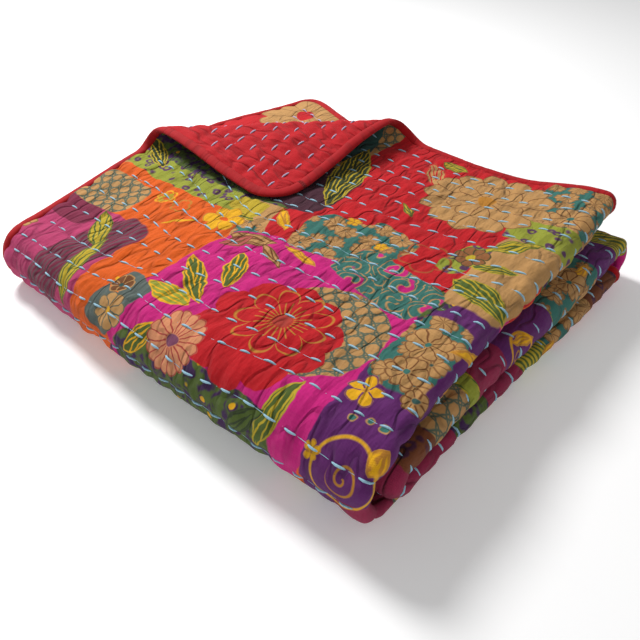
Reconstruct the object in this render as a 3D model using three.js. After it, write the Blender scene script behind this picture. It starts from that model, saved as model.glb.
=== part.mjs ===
// A hand-quilted cotton blanket, folded in half, rolled flat into four bands, with one corner turned back.
// Millimetres, +Z up. +X is the side of the long folds, -Y the front roll, +Y the back with the free edges.
// The origin is the middle of the box that holds the folded blanket, at the surface that it lies on.

import * as THREE from 'three';
import { mergeVertices } from 'three/addons/utils/BufferGeometryUtils.js';

// The cloth
const HALF_THICK = 2.5;
const HALF_THICK_AT_ROW = 1.4;
const HALF_THICK_UNDER = 2.3;
const THICKNESS_EASE = 30;
const ROW_PITCH = 24;
const LEAF_OFFSET = 3.1;
const OPENING_LENGTH = 90;
const CORNER_ROUND = 14;
const TURNED_CORNER_ROUND = 30;

// The folded outline
const FRONT_Y = -214;
const FRONT_BELLY = 4;
const BACK_EDGE_Y = 176;
const BACK_LOOP_Y = 194;
const INNER_ROLL_Y = -188;
const LOWEST_END_Y = 153;
const RISE_FROM_X = -205;
const RISE_TO_X = 110;
const HALF_WIDTH = 205;
const LEFT_RISEN_Y = 30;

// The free edges bow outwards towards the back, and the two leaves slip past each other there.
const EDGE_SWELL = 26;
const EDGE_SWELL_FROM_Y = -244;
const EDGE_SWELL_UNDER_TOP = 0.6;
const EDGE_RIPPLE = 2;
const UPPER_EDGE_SLIP = 4;
const LOWER_EDGE_SLIP = 26;
const UPPER_BACK_SLIP = 6;
const LOWER_BACK_SLIP = 38;
const FOLD_RIPPLE = 1.5;

// The four bands, from the top down. left and right are the heights of the middle of each band at the
// front, left_rise and right_rise what they gain towards the back. bulge is half the height of the long
// fold, fold_front and fold_back are where that fold reaches, and edge_x is where the free edge lies.
const BANDS = {
  top: {
    left: 48, right: 67.7, left_rise: 17, right_rise: 6, bulge: 12.2,
    fold_front: 203, fold_back: 205, edge_x: -203,
  },
  middle: {
    left: 33, right: 41.4, left_rise: 7, right_rise: 0, bulge: 13.6,
    fold_front: 208, fold_back: 229, edge_x: -207,
  },
  lower: {
    left: 18.5, right: 19.1, left_rise: 2.5, right_rise: 0, bulge: 8.2,
    fold_front: 208, fold_back: 237, edge_x: -200,
  },
  under: {
    left: 5.2, right: 5.2, left_rise: 0, right_rise: 0, bulge: 5.2,
    fold_front: 202, fold_back: 232, edge_x: -203,
  },
};
const BACK_SAG = { depth: 4.5, x: 70, reach: 110 };
const FRONT_ROLL_BULGE = 8;
const BACK_ROLL_BULGE = 8;
const INNER_ROLL_BULGE = 8;
const BULGE_EASE = 60;

// The turned-back corner: where the cloth leaves the top, which way it turns, and the size of its curl.
const CURL_START = { x: -125, y: 62 };
const CURL_ANGLE = THREE.MathUtils.degToRad(-46.7);
const CURL_RADIUS_AT_EDGE = 12;
const CURL_RADIUS_AT_BACK = 14.5;
const CURL_SPAN = 280;
const CURL_LANDING = 120;
const CURL_REST_GAP = 0.8;

// The binding, a rolled strip that closes the cut edge
const BINDING_GAP = 0.3;
const BINDING_WIDTH = 8;
const BINDING_HALF_THICK = 2.8;

const { smoothstep: ease, lerp, clamp } = THREE.MathUtils;

// Heights and reaches

function levelOf(band, x, y) {
  const back = ease(y, FRONT_Y, BACK_LOOP_Y);
  const left = band.left + band.left_rise * ease(y, FRONT_Y, LEFT_RISEN_Y);
  const right = band.right + band.right_rise * back * ease(x, 110, 200);
  const sag = band === BANDS.top ? BACK_SAG.depth * ease(y, 0, BACK_EDGE_Y) : 0;
  const near = 1 - ease(Math.abs(x - BACK_SAG.x), 0, BACK_SAG.reach);
  return lerp(left, right, ease(x, RISE_FROM_X, RISE_TO_X)) - sag * near;
}

function foldX(band, y) {
  const along = clamp((y - FRONT_Y) / (BACK_LOOP_Y - FRONT_Y), 0, 1);
  return lerp(band.fold_front, band.fold_back, along) + FOLD_RIPPLE * Math.sin(y / 47);
}

function edgeX(band, isUpperLeaf, y) {
  const swell = EDGE_SWELL * ease(y, EDGE_SWELL_FROM_Y, 0);
  const ripple = EDGE_RIPPLE * Math.sin(y / 60 + band.left);
  if (band !== BANDS.top) return band.edge_x - swell * EDGE_SWELL_UNDER_TOP + ripple;
  if (isUpperLeaf) return band.edge_x - swell - UPPER_EDGE_SLIP * ease(y, 0, BACK_EDGE_Y);
  return band.edge_x + 2 - swell + LOWER_EDGE_SLIP * ease(y, 40, BACK_EDGE_Y);
}

function backEdgeY(isUpperLeaf, x) {
  if (isUpperLeaf) return BACK_EDGE_Y + UPPER_BACK_SLIP * ease(-x, 60, 220);
  return BACK_EDGE_Y + LOWER_BACK_SLIP * ease(-x, 80, 205);
}

// The way of the doubled cloth, from the back edge of the top band to the end of the lowest band.
// A straight stretch runs in one band; a roll turns half round from one band to the next.

const WAY = [
  { kind: 'straight', band: BANDS.top },
  { kind: 'roll', from: BANDS.top, to: BANDS.under, turn: 0 },
  { kind: 'straight', band: BANDS.under },
  { kind: 'roll', from: BANDS.under, to: BANDS.middle, turn: 1 },
  { kind: 'straight', band: BANDS.middle },
  { kind: 'roll', from: BANDS.middle, to: BANDS.lower, turn: 2 },
  { kind: 'straight', band: BANDS.lower },
];

function rollLevels(roll, x) {
  const y = roll.turn === 1 ? BACK_LOOP_Y : FRONT_Y;
  return [levelOf(roll.from, x, y), levelOf(roll.to, x, y)];
}

function rollRadius(roll, x) {
  const [from, to] = rollLevels(roll, x);
  return Math.abs(from - to) / 2;
}

const ROLL_BULGES = [FRONT_ROLL_BULGE, BACK_ROLL_BULGE, INNER_ROLL_BULGE];
const ROLL_REACHES = [FRONT_Y, BACK_LOOP_Y, INNER_ROLL_Y];

function rollAxisY(turn, x) {
  const roll = WAY[1 + 2 * turn];
  const thin = LEAF_OFFSET + HALF_THICK;
  const depth = rollRadius(roll, x) + lerp(thin, ROLL_BULGES[turn], ease(x, 0, 180));
  const belly = FRONT_BELLY * (1 - (x / HALF_WIDTH) ** 2);
  return turn === 1 ? ROLL_REACHES[turn] - depth : ROLL_REACHES[turn] + depth - belly;
}

const LENGTH_AT_X = 100;

function stretchLengths() {
  const axes = [0, 1, 2].map((turn) => rollAxisY(turn, LENGTH_AT_X));
  const half = (index) => Math.PI * rollRadius(WAY[index], LENGTH_AT_X);
  return [
    BACK_EDGE_Y - axes[0],
    half(1),
    axes[1] - axes[0],
    half(3),
    axes[1] - axes[2],
    half(5),
    LOWEST_END_Y - axes[2],
  ];
}

const LENGTHS = stretchLengths();
const STARTS = LENGTHS.map((_, index) => (
  LENGTHS.slice(0, index).reduce((sum, length) => sum + length, 0)
));
const TOTAL_LENGTH = STARTS[6] + LENGTHS[6];

function stretchAt(along) {
  let index = 0;
  while (index < 6 && along > STARTS[index + 1]) index += 1;
  return { index, part: (along - STARTS[index]) / LENGTHS[index] };
}

// Where the middle of the doubled cloth lies: y, z and the angle that the cloth has turned through.

function wayPoint(along, x, isUpperLeaf) {
  const { index, part } = stretchAt(along);
  const piece = WAY[index];
  if (piece.kind === 'roll') {
    const angle = Math.PI * (piece.turn + part);
    const [from, to] = rollLevels(piece, x);
    const radius = Math.abs(from - to) / 2;
    const axisZ = (from + to) / 2;
    return {
      y: rollAxisY(piece.turn, x) - radius * Math.sin(angle),
      z: axisZ + radius * Math.cos(angle),
      angle,
    };
  }
  const start = index === 0 ? backEdgeY(isUpperLeaf, x) : rollAxisY(index / 2 - 1, x);
  const end = index === 6 ? LOWEST_END_Y : rollAxisY(index / 2, x);
  const y = lerp(start, end, part);
  return { y, z: levelOf(piece.band, x, y), angle: (Math.PI * index) / 2 };
}

// Half the height of the long fold, and how far it reaches, along the way.

function bulgeAt(along) {
  const { index, part } = stretchAt(along);
  const piece = WAY[index];
  if (piece.kind === 'roll') {
    const before = piece.turn === 1 ? BANDS.under.bulge : ROLL_BULGES[piece.turn];
    const after = piece.turn === 0 ? BANDS.under.bulge : ROLL_BULGES[piece.turn];
    return lerp(before, after, ease(part, 0, 1));
  }
  const fromStart = along - STARTS[index];
  const toEnd = STARTS[index] + LENGTHS[index] - along;
  const own = piece.band.bulge;
  const first = { 4: BACK_ROLL_BULGE, 6: INNER_ROLL_BULGE }[index] ?? own;
  const last = { 0: FRONT_ROLL_BULGE, 4: INNER_ROLL_BULGE }[index] ?? own;
  const risen = lerp(first, own, ease(fromStart, 0, BULGE_EASE));
  return lerp(last, risen, ease(toEnd, 0, BULGE_EASE));
}

function reachAt(along, y, pick) {
  const { index, part } = stretchAt(along);
  const piece = WAY[index];
  if (piece.kind === 'straight') return pick(piece.band, y);
  return lerp(pick(piece.from, y), pick(piece.to, y), ease(part, 0, 1));
}

// The turned-back corner. Points of the top leaf past the start line go round the curl and lie on the top.

const CURL_OUT = { x: Math.cos(CURL_ANGLE), y: Math.sin(CURL_ANGLE) };

function topLeafZ(x, y) {
  return levelOf(BANDS.top, x, y) + LEAF_OFFSET;
}

function turnBack(point, offset) {
  const dx = point.x - CURL_START.x;
  const dy = point.y - CURL_START.y;
  const past = -(dx * CURL_OUT.x + dy * CURL_OUT.y);
  if (past <= 0) return new THREE.Vector3(point.x, point.y, point.z + offset);
  const sideways = -dx * CURL_OUT.y + dy * CURL_OUT.x;
  const towardsBack = ease(sideways, -CURL_SPAN / 2, CURL_SPAN / 2);
  const radius = lerp(CURL_RADIUS_AT_EDGE, CURL_RADIUS_AT_BACK, towardsBack);
  const angle = Math.min(past / radius, Math.PI);
  const returned = Math.max(past - Math.PI * radius, 0);
  const forward = returned - radius * Math.sin(angle);
  const x = point.x + (past + forward) * CURL_OUT.x;
  const y = point.y + (past + forward) * CURL_OUT.y;
  const rest = 2 * HALF_THICK + CURL_REST_GAP;
  const lift = returned > 0
    ? lerp(2 * radius, rest, ease(returned, 0, CURL_LANDING))
    : radius * (1 - Math.cos(angle));
  const base = lerp(point.z, topLeafZ(x, y), angle / Math.PI);
  return new THREE.Vector3(
    x + offset * Math.sin(angle) * CURL_OUT.x,
    y + offset * Math.sin(angle) * CURL_OUT.y,
    base + lift + offset * Math.cos(angle),
  );
}

// A point of the blanket. across runs from -2 at the free edge of the upper leaf, over -1 to 1 round the
// long fold, to 2 at the free edge of the lower leaf. along is in millimetres, offset is from mid-cloth.

function placeOnBlanket(across, along, offset) {
  const isUpperLeaf = across < 0;
  const rough = wayPoint(along, 0, isUpperLeaf);
  const foldRadius = bulgeAt(along) - HALF_THICK;
  const turnX = reachAt(along, rough.y, foldX) - Math.max(foldRadius, LEAF_OFFSET);
  const side = isUpperLeaf ? 1 : -1;
  const openRadius = Math.max(foldRadius, BANDS.under.bulge - HALF_THICK_UNDER);
  let x;
  let away;
  let offsetX = 0;
  let offsetAway = offset * side;
  if (Math.abs(across) <= 1) {
    const turn = across * Math.PI / 2;
    x = turnX + openRadius * Math.cos(turn);
    away = -openRadius * Math.sin(turn);
    offsetX = offset * Math.cos(turn);
    offsetAway = -offset * Math.sin(turn);
  } else {
    const edge = reachAt(along, rough.y, (band, y) => edgeX(band, isUpperLeaf, y));
    x = turnX - (Math.abs(across) - 1) * (turnX - edge);
    const closed = Math.min(LEAF_OFFSET, openRadius);
    away = side * lerp(closed, openRadius, ease(x, turnX - OPENING_LENGTH, turnX));
  }
  const way = wayPoint(along, x, isUpperLeaf);
  const onTop = along < STARTS[1];
  if (onTop && isUpperLeaf && across < -1) {
    return turnBack(new THREE.Vector3(x, way.y, way.z + away), offset);
  }
  const reach = away + offsetAway;
  const y = way.y - reach * Math.sin(way.angle);
  const z = way.z + reach * Math.cos(way.angle);
  return new THREE.Vector3(x + offsetX, y, Math.max(z, 0));
}

// Half the thickness of the cloth: drawn in along each row of stitches, plain on the underside.

function halfThickness(along) {
  const under = along > STARTS[2] && along < STARTS[3];
  if (under) return HALF_THICK_UNDER;
  const wave = 0.5 + 0.5 * Math.cos((2 * Math.PI * along) / ROW_PITCH);
  const quilted = lerp(HALF_THICK, HALF_THICK_AT_ROW, wave);
  const before = ease(along, STARTS[2] - THICKNESS_EASE, STARTS[2]);
  const after = 1 - ease(along, STARTS[3], STARTS[3] + THICKNESS_EASE);
  return lerp(quilted, HALF_THICK_UNDER, before * after);
}

// Where the cloth is sampled

function stationList() {
  const stations = [0, 5];
  const step = ROW_PITCH / 2;
  for (let along = step; along < STARTS[2]; along += step) stations.push(along);
  for (let i = 0; i <= 6; i += 1) stations.push(STARTS[2] + (LENGTHS[2] * i) / 6);
  for (let i = 1; i <= 5; i += 1) stations.push(STARTS[3] + (LENGTHS[3] * i) / 6);
  const first = Math.ceil(STARTS[4] / step);
  for (let along = first * step; along < STARTS[5]; along += step) stations.push(along);
  for (let i = 0; i <= 4; i += 1) stations.push(STARTS[5] + (LENGTHS[5] * i) / 5);
  const second = Math.ceil(STARTS[6] / step);
  for (let along = second * step; along < TOTAL_LENGTH - 8; along += step) stations.push(along);
  stations.push(TOTAL_LENGTH - 5, TOTAL_LENGTH);
  return stations;
}

function columnList(along) {
  const fine = along < STARTS[2];
  const columns = [];
  const left = fine ? 18 : 3;
  const right = fine ? 7 : 3;
  const lower = fine ? 9 : 6;
  for (let i = 0; i < left; i += 1) columns.push(-2 + (0.5 * i) / left);
  for (let i = 0; i < right; i += 1) columns.push(-1.5 + (0.5 * i) / right);
  for (let i = 0; i <= 4; i += 1) columns.push(-1 + i / 2);
  for (let i = 1; i <= lower; i += 1) columns.push(1 + i / lower);
  return columns;
}

// How far the rounded corners draw the free edge in

function cornerInset(along, isUpperLeaf) {
  const radius = isUpperLeaf && along < TOTAL_LENGTH / 2 ? TURNED_CORNER_ROUND : CORNER_ROUND;
  const fromEnd = Math.min(along, TOTAL_LENGTH - along);
  if (fromEnd >= radius) return 0;
  return radius - Math.sqrt(radius ** 2 - (radius - fromEnd) ** 2);
}

function leafWidth(along, isUpperLeaf) {
  const y = wayPoint(along, 0, isUpperLeaf).y;
  const edge = reachAt(along, y, (band, atY) => edgeX(band, isUpperLeaf, atY));
  return reachAt(along, y, foldX) - bulgeAt(along) - edge;
}

function trimmed(across, along) {
  if (Math.abs(across) <= 1) return across;
  const isUpperLeaf = across < 0;
  const limit = 1 - cornerInset(along, isUpperLeaf) / leafWidth(along, isUpperLeaf);
  return Math.sign(across) * (1 + (Math.abs(across) - 1) * limit);
}

// Closed surfaces from rings of points

class Surface {
  constructor() {
    this.points = [];
    this.faces = [];
  }

  addRing(points) {
    const first = this.points.length;
    this.points.push(...points);
    return points.map((_, index) => first + index);
  }

  // Joins two closed rings. Each knows how far round each of its points is, from 0 to 1.
  joinRings(ring, next, marks, nextMarks) {
    let i = 0;
    let j = 0;
    while (i < ring.length || j < next.length) {
      const markI = i < ring.length ? (marks[i + 1] ?? 1) : Infinity;
      const markJ = j < next.length ? (nextMarks[j + 1] ?? 1) : Infinity;
      const a = ring[i % ring.length];
      const b = next[j % next.length];
      if (markI <= markJ && i < ring.length) {
        this.faces.push([a, b, ring[(i + 1) % ring.length]]);
        i += 1;
      } else {
        this.faces.push([a, b, next[(j + 1) % next.length]]);
        j += 1;
      }
    }
  }

  // Closes an end whose ring is an upper row of points followed by the lower row in reverse.
  closeEnd(ring, reversed) {
    const count = ring.length / 2;
    for (let i = 0; i < count - 1; i += 1) {
      const a = ring[i];
      const b = ring[i + 1];
      const c = ring[ring.length - 2 - i];
      const d = ring[ring.length - 1 - i];
      const pair = reversed ? [[a, c, b], [a, d, c]] : [[a, b, c], [a, c, d]];
      this.faces.push(...pair);
    }
  }

  toGeometry() {
    const geometry = new THREE.BufferGeometry();
    const flat = this.points.flatMap((point) => point.toArray());
    geometry.setAttribute('position', new THREE.Float32BufferAttribute(flat, 3));
    geometry.setIndex(this.faces.flat());
    return mergeVertices(geometry, 1e-4);
  }
}

function buildCloth() {
  const surface = new Surface();
  let previous = null;
  for (const along of stationList()) {
    const columns = columnList(along);
    const half = halfThickness(along);
    const outer = columns.map((across) => placeOnBlanket(trimmed(across, along), along, half));
    const inner = columns.map((across) => placeOnBlanket(trimmed(across, along), along, -half));
    const ring = surface.addRing([...outer, ...inner.reverse()]);
    const outerMarks = columns.map((across) => 0.49 * (across + 2) / 4); // just under half way round
    const allMarks = [...outerMarks, ...outerMarks.map((mark) => mark + 0.5)];
    if (previous) surface.joinRings(previous.ring, ring, previous.allMarks, allMarks);
    else surface.closeEnd(ring, false);
    previous = { ring, allMarks };
  }
  surface.closeEnd(previous.ring, true);
  return surface.toGeometry();
}

// The edge of the cloth, all the way round, with the direction that points out of the cloth.

function edgeLoop() {
  const stations = stationList();
  const spot = (across, along) => ({ across: trimmed(across, along), along });
  const firstEnd = columnList(0).slice(1, -1).map((across) => spot(across, 0));
  const lastEnd = columnList(TOTAL_LENGTH).slice(1, -1).map((across) => spot(across, TOTAL_LENGTH));
  const upperEdge = stations.map((along) => spot(-2, along));
  const lowerEdge = stations.map((along) => spot(2, along));
  const loop = [...firstEnd, ...lowerEdge, ...lastEnd.reverse(), ...upperEdge.reverse()];
  return loop.map((here, index) => {
    const before = loop[(index + loop.length - 1) % loop.length];
    const after = loop[(index + 1) % loop.length];
    const width = leafWidth(here.along, here.across < 0);
    const goesAcross = (after.across - before.across) * width;
    const goesAlong = after.along - before.along;
    const length = Math.hypot(goesAcross, goesAlong);
    return { ...here, outAcross: goesAlong / length / width, outAlong: -goesAcross / length };
  });
}

function buildBinding() {
  const surface = new Surface();
  const far = BINDING_GAP + BINDING_WIDTH;
  const section = [
    [BINDING_GAP, 0.75 * BINDING_HALF_THICK],
    [far / 2, BINDING_HALF_THICK],
    [far, 0.5 * BINDING_HALF_THICK],
    [far, -0.5 * BINDING_HALF_THICK],
    [far / 2, -BINDING_HALF_THICK],
    [BINDING_GAP, -0.75 * BINDING_HALF_THICK],
  ];
  const marks = section.map((_, index) => index / section.length);
  const rings = edgeLoop().map((spot) => surface.addRing(section.map(([out, offset]) => placeOnBlanket(
    spot.across + out * spot.outAcross,
    spot.along + out * spot.outAlong,
    offset,
  ))));
  rings.forEach((ring, index) => {
    surface.joinRings(ring, rings[(index + 1) % rings.length], marks, marks);
  });
  return surface.toGeometry();
}

// Finishes and assembly

const clothFinish = new THREE.MeshStandardMaterial({ color: 0xb0302e, roughness: 0.92, metalness: 0 });
const bindingFinish = new THREE.MeshStandardMaterial({ color: 0xb5141f, roughness: 0.9, metalness: 0 });

const cloth = new THREE.Mesh(buildCloth(), clothFinish);
cloth.name = 'quilt_cloth';

const binding = new THREE.Mesh(buildBinding(), bindingFinish);
binding.name = 'edge_binding';

const blanket = new THREE.Group();
blanket.add(cloth, binding);

const box = new THREE.Box3().setFromObject(blanket);
const middle = box.getCenter(new THREE.Vector3());
blanket.position.set(-middle.x, -middle.y, 0);

export default blanket;
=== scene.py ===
# %% [markdown]
# # A folded quilted blanket
# The real blanket is a cotton quilt: printed patches on one side, plain red cloth on the other, a thin
# filling between them, rows of hand stitches right through, and a rolled red strip round the edge. It is
# folded in half, rolled flat into four bands, and one corner is turned back. This script loads the packed
# solids as a frame, lays a thin quilted sheet on their folds, sews it, binds it, prints it and lights it.

# %% Load the imported frame and bake each piece's place into its mesh
import math
from functools import partial

import bmesh
import bpy
from mathutils import Matrix, Vector, noise


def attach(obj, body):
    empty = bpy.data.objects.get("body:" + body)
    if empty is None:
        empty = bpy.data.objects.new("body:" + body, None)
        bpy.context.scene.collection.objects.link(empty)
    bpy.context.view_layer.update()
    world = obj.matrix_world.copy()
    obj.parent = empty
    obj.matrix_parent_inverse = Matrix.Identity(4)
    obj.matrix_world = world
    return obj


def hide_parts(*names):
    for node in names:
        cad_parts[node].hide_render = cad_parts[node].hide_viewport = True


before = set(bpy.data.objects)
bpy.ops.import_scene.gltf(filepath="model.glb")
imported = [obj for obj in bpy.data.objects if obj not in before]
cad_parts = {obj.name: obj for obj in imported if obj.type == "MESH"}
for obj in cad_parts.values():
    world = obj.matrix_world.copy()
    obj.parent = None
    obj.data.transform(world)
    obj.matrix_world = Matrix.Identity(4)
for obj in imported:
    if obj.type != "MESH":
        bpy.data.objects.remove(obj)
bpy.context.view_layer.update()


# %% New objects
def add_object(name, data):
    added = bpy.data.objects.new(name, data)
    bpy.context.scene.collection.objects.link(added)
    return added


def object_from_net(name, net):
    """An object whose mesh is made from a bmesh net."""
    mesh = bpy.data.meshes.new(name)
    net.to_mesh(mesh)
    net.free()
    return add_object(name, mesh)


# %% [markdown]
# ## The camera
# The camera comes first, because it decides how much of each piece is seen. It stands a little above
# half a metre away, at the corner between the long folds and the front roll, and looks down at 41 degrees.
# Its axes are worked out from three angles, so that each can be checked against the photograph.

# %% Camera
CAMERA_PLACE = Vector((0.30187, -0.37683, 0.34645))
CAMERA_DOWN = math.radians(40.65)
CAMERA_YAW = math.radians(38.99)
CAMERA_ROLL = math.radians(1.46)
CAMERA_LENS_MM = 32.99

forward = Vector((
    -math.sin(CAMERA_YAW) * math.cos(CAMERA_DOWN),
    math.cos(CAMERA_YAW) * math.cos(CAMERA_DOWN),
    -math.sin(CAMERA_DOWN),
))
level_right = Vector((math.cos(CAMERA_YAW), math.sin(CAMERA_YAW), 0))
level_up = level_right.cross(forward)
right = level_right * math.cos(CAMERA_ROLL) + level_up * math.sin(CAMERA_ROLL)
up = level_up * math.cos(CAMERA_ROLL) - level_right * math.sin(CAMERA_ROLL)

camera_data = bpy.data.cameras.new("camera")
camera_data.lens = CAMERA_LENS_MM
camera_data.sensor_width = 36
camera = add_object("camera", camera_data)
turned = Matrix((right, up, -forward)).transposed().to_4x4()
camera.matrix_world = Matrix.Translation(CAMERA_PLACE) @ turned
bpy.context.scene.camera = camera
print("camera looks along", [round(v, 3) for v in forward])

# %% [markdown]
# ## The folds
# The folds could be found with a cloth simulation, but a blanket that was folded by hand has folds where
# the hand put them. So they are worked out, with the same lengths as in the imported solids: a doubled strip
# goes along four bands and round three rolls. A point of the cloth is named by how far across it lies, how
# far along, and how far above the middle of the cloth, and the fold functions turn that into a place.

# %% Sizes of the folds, in millimetres
HALF_THICK = 2.5
LEAF_OFFSET = 3.1
OPENING_LENGTH = 90
CORNER_ROUND = 14
TURNED_CORNER_ROUND = 30
ROW_PITCH = 24

FRONT_Y = -214
FRONT_BELLY = 4
BACK_EDGE_Y = 176
BACK_LOOP_Y = 194
INNER_ROLL_Y = -188
LOWEST_END_Y = 153
RISE_FROM_X = -205
RISE_TO_X = 110
HALF_WIDTH = 205
LEFT_RISEN_Y = 30

BAND_SIZES = ("left", "right", "left_rise", "right_rise", "bulge", "fold_front", "fold_back", "edge_x")
TOP = dict(zip(BAND_SIZES, (48, 67.7, 17, 6, 12.2, 203, 205, -203)))
MIDDLE = dict(zip(BAND_SIZES, (33, 41.4, 7, 0, 13.6, 208, 229, -207)))
LOWER = dict(zip(BAND_SIZES, (18.5, 19.1, 2.5, 0, 8.2, 208, 237, -200)))
UNDER = dict(zip(BAND_SIZES, (5.2, 5.2, 0, 0, 5.2, 202, 232, -203)))
BANDS = (TOP, UNDER, MIDDLE, LOWER)

BACK_SAG_DEPTH = 4.5
BACK_SAG_X = 70
BACK_SAG_REACH = 110
ROLL_BULGE = 8
BULGE_EASE = 60

CURL_START = (-125, 62)
CURL_ANGLE = math.radians(-46.7)
CURL_RADIUS_AT_EDGE = 12
CURL_RADIUS_AT_BACK = 14.5
CURL_SPAN = 280
CURL_LANDING = 120
CURL_REST_GAP = 0.8


# %% Levels of the bands
def ease(value, start, end):
    part = min(max((value - start) / (end - start), 0), 1)
    return part * part * (3 - 2 * part)


def lerp(a, b, part):
    return a + (b - a) * part


def level_of(band, x, y):
    left = band["left"] + band["left_rise"] * ease(y, FRONT_Y, LEFT_RISEN_Y)
    right_side = band["right"] + band["right_rise"] * ease(y, FRONT_Y, BACK_LOOP_Y) * ease(x, 110, 200)
    level = lerp(left, right_side, ease(x, RISE_FROM_X, RISE_TO_X))
    if band is TOP and y > 0:
        near = 1 - ease(abs(x - BACK_SAG_X), 0, BACK_SAG_REACH)
        level -= BACK_SAG_DEPTH * ease(y, 0, BACK_EDGE_Y) * near
    return level


def fold_x(band, y):
    part = min(max((y - FRONT_Y) / (BACK_LOOP_Y - FRONT_Y), 0), 1)
    return lerp(band["fold_front"], band["fold_back"], part) + 1.5 * math.sin(y / 47)


def edge_x(band, is_upper, y):
    swell = -26 * ease(y, FRONT_Y - 30, 0)
    if band is not TOP:
        return band["edge_x"] + swell * 0.6 + 2 * math.sin(y / 60 + band["left"])
    if is_upper:
        return band["edge_x"] + swell - 4 * ease(y, 0, BACK_EDGE_Y)
    return band["edge_x"] + 2 + swell + 26 * ease(y, 40, BACK_EDGE_Y)


def back_edge_y(is_upper, x):
    slip = 6 * ease(-x, 60, 220) if is_upper else 38 * ease(-x, 80, 205)
    return BACK_EDGE_Y + slip


# %% The rolls between the bands
ROLL_REACHES = (FRONT_Y, BACK_LOOP_Y, INNER_ROLL_Y)


def roll_levels(turn, x):
    y = BACK_LOOP_Y if turn == 1 else FRONT_Y
    return level_of(BANDS[turn], x, y), level_of(BANDS[turn + 1], x, y)


def roll_axis_y(turn, x):
    start, end = roll_levels(turn, x)
    depth = abs(start - end) / 2 + lerp(LEAF_OFFSET + HALF_THICK, ROLL_BULGE, ease(x, 0, 180))
    if turn == 1:
        return ROLL_REACHES[turn] - depth
    return ROLL_REACHES[turn] + depth - FRONT_BELLY * (1 - (x / HALF_WIDTH) ** 2)


def stretch_lengths(x=100):
    axes = [roll_axis_y(turn, x) for turn in range(3)]
    halves = [math.pi * abs(a - b) / 2 for a, b in (roll_levels(turn, x) for turn in range(3))]
    return (
        BACK_EDGE_Y - axes[0], halves[0], axes[1] - axes[0], halves[1],
        axes[1] - axes[2], halves[2], LOWEST_END_Y - axes[2],
    )


LENGTHS = stretch_lengths()
STARTS = [sum(LENGTHS[:index]) for index in range(8)]
TOTAL_LENGTH = STARTS[7]
print("stretches in mm:", [round(length) for length in LENGTHS], "in all", round(TOTAL_LENGTH))


# %% The way of the doubled strip
def stretch_at(along):
    index = 0
    while index < 6 and along > STARTS[index + 1]:
        index += 1
    return index, (along - STARTS[index]) / LENGTHS[index]


def way_point(along, x, is_upper):
    """y and z of the middle of the doubled strip, and the angle that it has turned through."""
    index, part = stretch_at(along)
    turn = index // 2
    if index % 2:
        start, end = roll_levels(turn, x)
        radius = abs(start - end) / 2
        angle = math.pi * (turn + part)
        return (
            roll_axis_y(turn, x) - radius * math.sin(angle),
            (start + end) / 2 + radius * math.cos(angle),
            angle,
        )
    start = back_edge_y(is_upper, x) if turn == 0 else roll_axis_y(turn - 1, x)
    end = LOWEST_END_Y if turn == 3 else roll_axis_y(turn, x)
    y = lerp(start, end, part)
    return y, level_of(BANDS[turn], x, y), math.pi * turn


def bulge_at(along):
    """Half the height of the long fold."""
    index, part = stretch_at(along)
    turn = index // 2
    if index % 2:
        before = UNDER["bulge"] if turn == 1 else ROLL_BULGE
        after = UNDER["bulge"] if turn == 0 else ROLL_BULGE
        return lerp(before, after, ease(part, 0, 1))
    own = BANDS[turn]["bulge"]
    first = ROLL_BULGE if turn in (2, 3) else own
    last = ROLL_BULGE if turn in (0, 2) else own
    risen = lerp(first, own, ease(along - STARTS[index], 0, BULGE_EASE))
    return lerp(last, risen, ease(STARTS[index + 1] - along, 0, BULGE_EASE))


def reach_at(along, y, pick):
    index, part = stretch_at(along)
    turn = index // 2
    if index % 2 == 0:
        return pick(BANDS[turn], y)
    return lerp(pick(BANDS[turn], y), pick(BANDS[turn + 1], y), ease(part, 0, 1))


# %% The turned-back corner
CURL_OUT = (math.cos(CURL_ANGLE), math.sin(CURL_ANGLE))


def turn_back(x, y, z, offset):
    """Points of the top leaf past the start line go round the curl and lie on the top."""
    dx = x - CURL_START[0]
    dy = y - CURL_START[1]
    past = -(dx * CURL_OUT[0] + dy * CURL_OUT[1])
    if past <= 0:
        return Vector((x, y, z + offset))
    sideways = -dx * CURL_OUT[1] + dy * CURL_OUT[0]
    radius = lerp(CURL_RADIUS_AT_EDGE, CURL_RADIUS_AT_BACK, ease(sideways, -CURL_SPAN / 2, CURL_SPAN / 2))
    angle = min(past / radius, math.pi)
    returned = max(past - math.pi * radius, 0)
    shift = past + returned - radius * math.sin(angle)
    x += shift * CURL_OUT[0]
    y += shift * CURL_OUT[1]
    lift = radius * (1 - math.cos(angle))
    if returned > 0:
        lift = lerp(2 * radius, 2 * HALF_THICK + CURL_REST_GAP, ease(returned, 0, CURL_LANDING))
    base = lerp(z, level_of(TOP, x, y) + LEAF_OFFSET, angle / math.pi)
    return Vector((
        x + offset * math.sin(angle) * CURL_OUT[0],
        y + offset * math.sin(angle) * CURL_OUT[1],
        base + lift + offset * math.cos(angle),
    ))


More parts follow.
